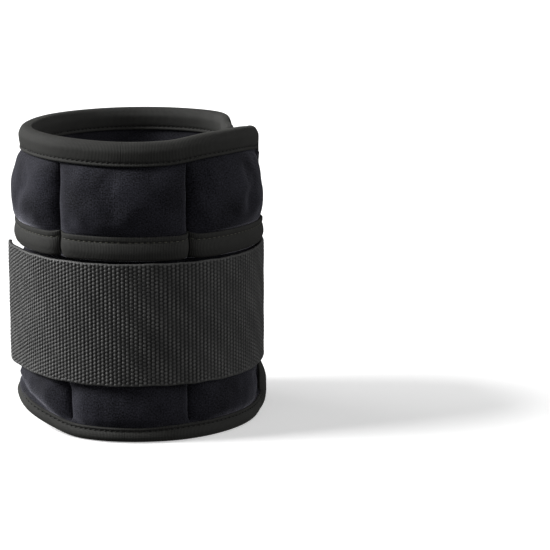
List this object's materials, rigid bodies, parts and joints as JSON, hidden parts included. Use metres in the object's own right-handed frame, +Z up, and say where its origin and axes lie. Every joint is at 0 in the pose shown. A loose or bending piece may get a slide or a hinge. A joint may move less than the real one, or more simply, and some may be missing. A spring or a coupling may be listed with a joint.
{
  "type": "ankle cuff weight",
  "caption": "Padded neoprene ankle cuff weight closed by a wide hook-and-loop strap, with shot-filled pockets, bound edges and an under-lap tongue.",
  "frame": {"origin": "centre of the bounding box's bottom face, within a few millimetres of the ankle hollow's axis; the cuff stands on its lower rim", "axes": "+Z up along the leg, out of the flapped pockets' top rim; -Y is the front, where the strap crosses the middle pocket; +X is the side where the wrap's free end closes over the tongue"},
  "size_m": [0.1058, 0.1047, 0.123],
  "materials": {
    "neoprene": "black knitted jersey laminated to neoprene foam, soft matt with a faint violet sheen",
    "lining": "black knitted jersey lining, matt",
    "binding": "charcoal knitted edge binding with fine cross ribs, matt",
    "webbing": "dark grey coarse woven webbing",
    "loop_tape": "black brushed loop pile",
    "hook_tape": "black moulded nylon hooks",
    "sleeve": "grey coated nylon cloth",
    "shot": "loose steel shot, modelled as one mass"
  },
  "bodies": {
    "right": {"right_lining": "lining", "right_lower_panel": "neoprene", "right_upper_panel": "neoprene", "right_weight_sleeve": "sleeve", "right_weight_shot": "shot", "right_top_binding": "binding", "right_bottom_binding": "binding", "right_flap_binding": "binding", "right_end_binding": "binding", "right_loop_tape": "loop_tape"},
    "front": {"front_lining": "lining", "front_lower_panel": "neoprene", "front_upper_panel": "neoprene", "front_weight_sleeve": "sleeve", "front_weight_shot": "shot", "front_top_binding": "binding", "front_bottom_binding": "binding", "front_flap_binding": "binding", "front_loop_tape": "loop_tape"},
    "left": {"left_lining": "lining", "left_lower_panel": "neoprene", "left_upper_panel": "neoprene", "left_weight_sleeve": "sleeve", "left_weight_shot": "shot", "left_top_binding": "binding", "left_bottom_binding": "binding", "left_flap_binding": "binding", "left_loop_tape": "loop_tape"},
    "rear_left": {"rear_left_lining": "lining", "rear_left_lower_panel": "neoprene", "rear_left_upper_panel": "neoprene", "rear_left_weight_sleeve": "sleeve", "rear_left_weight_shot": "shot", "rear_left_top_binding": "binding", "rear_left_bottom_binding": "binding", "rear_left_flap_binding": "binding"},
    "rear_right": {"rear_right_lining": "lining", "rear_right_lower_panel": "neoprene", "rear_right_upper_panel": "neoprene", "rear_right_weight_sleeve": "sleeve", "rear_right_weight_shot": "shot", "rear_right_top_binding": "binding", "rear_right_bottom_binding": "binding", "rear_right_flap_binding": "binding", "strap_root": "webbing"},
    "tongue": {"tongue": "neoprene", "tongue_top_binding": "binding", "tongue_bottom_binding": "binding", "tongue_end_binding": "binding"},
    "strap_1": {"strap_1": "webbing"},
    "strap_2": {"strap_2": "webbing"},
    "strap_3": {"strap_3": "webbing", "hook_tape_front": "hook_tape"},
    "strap_4": {"strap_4": "webbing", "hook_tape_left": "hook_tape"},
    "strap_tip": {"strap_tip": "webbing"}
  },
  "joints": [
    {"name": "unwrap", "type": "hinge", "parent": "front", "child": "left", "pos_m": [-0.02571, -0.03064, 0.048], "axis": [0, 0, 1], "range_deg": [0, 62]},
    {"name": "seam_front_right", "type": "hinge", "parent": "front", "child": "right", "pos_m": [0.01563, -0.03682, 0.048], "axis": [0, 0, -1], "range_deg": [-1, 63]},
    {"name": "seam_left_rear", "type": "hinge", "parent": "left", "child": "rear_left", "pos_m": [-0.03898, 0.009, 0.048], "axis": [0, 0, 1], "range_deg": [-1, 63]},
    {"name": "seam_rear", "type": "hinge", "parent": "rear_left", "child": "rear_right", "pos_m": [-0.00968, 0.03881, 0.048], "axis": [0, 0, 1], "range_deg": [-1, 63]},
    {"name": "tongue_bend", "type": "hinge", "parent": "rear_right", "child": "tongue", "pos_m": [0.03019, 0.02624, 0.048], "axis": [0, 0, 1], "range_deg": [-1, 48]},
    {"name": "strap_peel_closure", "type": "hinge", "parent": "rear_right", "child": "strap_1", "pos_m": [0.0397, 0.03451, 0.048], "axis": [0, 0, 1], "range_deg": [-1, 63]},
    {"name": "strap_peel_right", "type": "hinge", "parent": "strap_1", "child": "strap_2", "pos_m": [0.05247, -0.00367, 0.048], "axis": [0, 0, 1], "range_deg": [-1, 70]},
    {"name": "strap_peel_front", "type": "hinge", "parent": "strap_2", "child": "strap_3", "pos_m": [0.02055, -0.04842, 0.048], "axis": [0, 0, 1], "range_deg": [-1, 73]},
    {"name": "strap_peel_left", "type": "hinge", "parent": "strap_3", "child": "strap_4", "pos_m": [-0.03381, -0.04029, 0.048], "axis": [0, 0, 1], "range_deg": [-1, 73]},
    {"name": "strap_tip_lift", "type": "hinge", "parent": "strap_4", "child": "strap_tip", "pos_m": [-0.05247, -0.00367, 0.048], "axis": [0, 0, 1], "range_deg": [0, 60]}
  ],
  "couplings": [
    {"joint": "seam_front_right", "follows": "unwrap", "ratio": 1},
    {"joint": "seam_left_rear", "follows": "unwrap", "ratio": 1},
    {"joint": "seam_rear", "follows": "unwrap", "ratio": 1},
    {"joint": "tongue_bend", "follows": "unwrap", "ratio": 0.75},
    {"joint": "strap_peel_closure", "follows": "unwrap", "ratio": 1},
    {"joint": "strap_peel_right", "follows": "unwrap", "ratio": 1.1},
    {"joint": "strap_peel_front", "follows": "unwrap", "ratio": 1.15},
    {"joint": "strap_peel_left", "follows": "unwrap", "ratio": 1.15}
  ]
}
